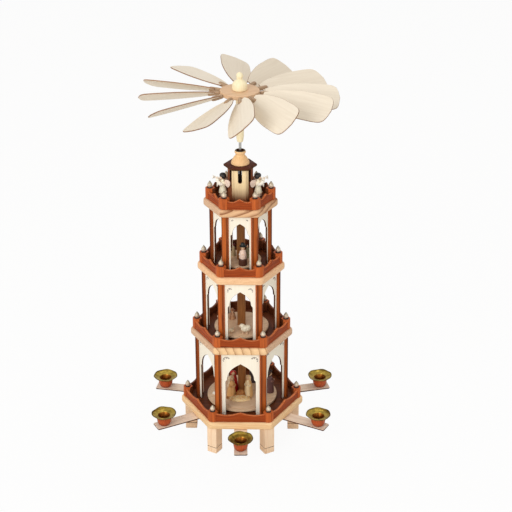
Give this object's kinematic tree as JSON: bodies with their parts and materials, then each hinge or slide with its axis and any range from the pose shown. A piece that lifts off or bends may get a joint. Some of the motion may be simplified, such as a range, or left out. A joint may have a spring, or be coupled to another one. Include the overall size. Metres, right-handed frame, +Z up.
{
  "type": "candle carousel",
  "caption": "Tiered hexagonal wooden candle carousel with arched arcades, railings, a small tower, figure discs, swivel candle arms and a wheel of pitched blades.",
  "frame": {"origin": "on the floor, under the axis of the pole that the wheel turns on", "axes": "+Z up along the pole; -Y towards the viewer, out of one flat side of the base; +X to the viewer's right, out of a corner of the base"},
  "size_m": [0.2934, 0.314, 0.6001],
  "materials": {
    "pine": "light pine, planed, matt, with visible growth rings",
    "stained_wood": "reddish brown stain under a satin varnish",
    "dark_wood": "dark brown stain, satin",
    "beech": "pale turned wood, satin",
    "pole_wood": "tan dowel, matt",
    "hub_wood": "tan wood, matt, with dark cut edges",
    "disc_wood": "warm grey beige plywood, matt",
    "blade_veneer": "cream veneer, matt, with dark cut edges",
    "arm_wood": "pale sawn strip, matt",
    "figure_paint": "turned wood with satin paint",
    "brass": "pressed sheet brass, polished",
    "steel": "bright drawn steel"
  },
  "bodies": {
    "carousel_frame": {"base_platform": "pine", "second_platform": "pine", "third_platform": "pine", "top_platform": "pine", "leg_1": "pine", "leg_2": "pine", "leg_3": "pine", "leg_4": "pine", "leg_5": "pine", "leg_6": "pine", "arcade_1": "stained_wood", "arcade_2": "stained_wood", "arcade_3": "stained_wood", "railing_1": "stained_wood", "railing_2": "stained_wood", "railing_3": "stained_wood", "railing_4": "stained_wood", "tower_body": "beech", "tower_roof": "dark_wood", "tower_cap": "beech", "foot_bearing": "steel", "rod_bush": "brass", "angel_left": "figure_paint", "angel_right": "figure_paint"},
    "wheel_and_pole": {"pole": "pole_wood", "rod": "steel", "disc_1": "disc_wood", "disc_2": "disc_wood", "disc_3": "disc_wood", "wheel_hub": "hub_wood", "wheel_sleeve": "beech", "wheel_knob": "beech", "nativity_group": "figure_paint", "sheep": "figure_paint", "shepherd": "figure_paint", "caroler": "figure_paint"},
    "blade_body_1": {"blade_1": "blade_veneer"},
    "blade_body_2": {"blade_2": "blade_veneer"},
    "blade_body_3": {"blade_3": "blade_veneer"},
    "blade_body_4": {"blade_4": "blade_veneer"},
    "blade_body_5": {"blade_5": "blade_veneer"},
    "blade_body_6": {"blade_6": "blade_veneer"},
    "blade_body_7": {"blade_7": "blade_veneer"},
    "blade_body_8": {"blade_8": "blade_veneer"},
    "blade_body_9": {"blade_9": "blade_veneer"},
    "blade_body_10": {"blade_10": "blade_veneer"},
    "blade_body_11": {"blade_11": "blade_veneer"},
    "blade_body_12": {"blade_12": "blade_veneer"},
    "candle_arm_1": {"arm_1": "arm_wood", "pan_1": "brass"},
    "candle_arm_2": {"arm_2": "arm_wood", "pan_2": "brass"},
    "candle_arm_3": {"arm_3": "arm_wood", "pan_3": "brass"},
    "candle_arm_4": {"arm_4": "arm_wood", "pan_4": "brass"},
    "candle_arm_5": {"arm_5": "arm_wood", "pan_5": "brass"},
    "candle_arm_6": {"arm_6": "arm_wood", "pan_6": "brass"}
  },
  "joints": [
    {"name": "carousel_spin", "type": "hinge", "parent": "carousel_frame", "child": "wheel_and_pole", "pos_m": [0, 0, 0.5698], "axis": [0, 0, 1], "continuous": true},
    {"name": "blade_pitch_1", "type": "hinge", "parent": "wheel_and_pole", "child": "blade_body_1", "pos_m": [0.0397, 0.00347, 0.56631], "axis": [0.9924, 0.0868, -0.0872], "range_deg": [-15, 45]},
    {"name": "blade_pitch_2", "type": "hinge", "parent": "wheel_and_pole", "child": "blade_body_2", "pos_m": [0.03353, 0.02177, 0.5684], "axis": [0.8382, 0.5443, -0.0349], "range_deg": [-9, 51]},
    {"name": "blade_pitch_3", "type": "hinge", "parent": "wheel_and_pole", "child": "blade_body_3", "pos_m": [0.01816, 0.03564, 0.5691], "axis": [0.4539, 0.8909, -0.0175], "range_deg": [-16, 44]},
    {"name": "blade_pitch_4", "type": "hinge", "parent": "wheel_and_pole", "child": "blade_body_4", "pos_m": [-0.00348, 0.03982, 0.5712], "axis": [-0.0871, 0.9956, 0.0349], "range_deg": [-8, 52]},
    {"name": "blade_pitch_5", "type": "hinge", "parent": "wheel_and_pole", "child": "blade_body_5", "pos_m": [-0.02624, 0.03018, 0.5705], "axis": [-0.656, 0.7546, 0.0175], "range_deg": [-2, 63]},
    {"name": "blade_pitch_6", "type": "hinge", "parent": "wheel_and_pole", "child": "blade_body_6", "pos_m": [-0.03845, 0.01103, 0.5698], "axis": [-0.9613, 0.2756, 0], "range_deg": [-15, 45]},
    {"name": "blade_pitch_7", "type": "hinge", "parent": "wheel_and_pole", "child": "blade_body_7", "pos_m": [-0.03982, -0.00348, 0.5684], "axis": [-0.9956, -0.0871, -0.0349], "range_deg": [-15, 45]},
    {"name": "blade_pitch_8", "type": "hinge", "parent": "wheel_and_pole", "child": "blade_body_8", "pos_m": [-0.0335, -0.02176, 0.56771], "axis": [-0.8375, -0.5439, -0.0523], "range_deg": [-15, 45]},
    {"name": "blade_pitch_9", "type": "hinge", "parent": "wheel_and_pole", "child": "blade_body_9", "pos_m": [-0.01623, -0.03645, 0.56701], "axis": [-0.4057, -0.9113, -0.0698], "range_deg": [-5, 55]},
    {"name": "blade_pitch_10", "type": "hinge", "parent": "wheel_and_pole", "child": "blade_body_10", "pos_m": [0.00209, -0.03992, 0.5684], "axis": [0.0523, -0.998, -0.0349], "range_deg": [-26, 34]},
    {"name": "blade_pitch_11", "type": "hinge", "parent": "wheel_and_pole", "child": "blade_body_11", "pos_m": [0.0206, -0.03428, 0.5691], "axis": [0.515, -0.857, -0.0175], "range_deg": [-28, 32]},
    {"name": "blade_pitch_12", "type": "hinge", "parent": "wheel_and_pole", "child": "blade_body_12", "pos_m": [0.03562, -0.01815, 0.5684], "axis": [0.8905, -0.4537, -0.0349], "range_deg": [-19, 41]},
    {"name": "arm_swing_1", "type": "hinge", "parent": "carousel_frame", "child": "candle_arm_1", "pos_m": [0.06582, 0.038, 0.0452], "axis": [0, 0, 1], "range_deg": [-30, 60]},
    {"name": "arm_swing_2", "type": "hinge", "parent": "carousel_frame", "child": "candle_arm_2", "pos_m": [0, 0.076, 0.0452], "axis": [0, 0, 1], "range_deg": [-45, 45]},
    {"name": "arm_swing_3", "type": "hinge", "parent": "carousel_frame", "child": "candle_arm_3", "pos_m": [-0.06582, 0.038, 0.0452], "axis": [0, 0, 1], "range_deg": [-65, 25]},
    {"name": "arm_swing_4", "type": "hinge", "parent": "carousel_frame", "child": "candle_arm_4", "pos_m": [-0.06582, -0.038, 0.0452], "axis": [0, 0, 1], "range_deg": [-44, 46]},
    {"name": "arm_swing_5", "type": "hinge", "parent": "carousel_frame", "child": "candle_arm_5", "pos_m": [0, -0.076, 0.0452], "axis": [0, 0, 1], "range_deg": [-47, 43]},
    {"name": "arm_swing_6", "type": "hinge", "parent": "carousel_frame", "child": "candle_arm_6", "pos_m": [0.06582, -0.038, 0.0452], "axis": [0, 0, 1], "range_deg": [-48, 42]}
  ]
}
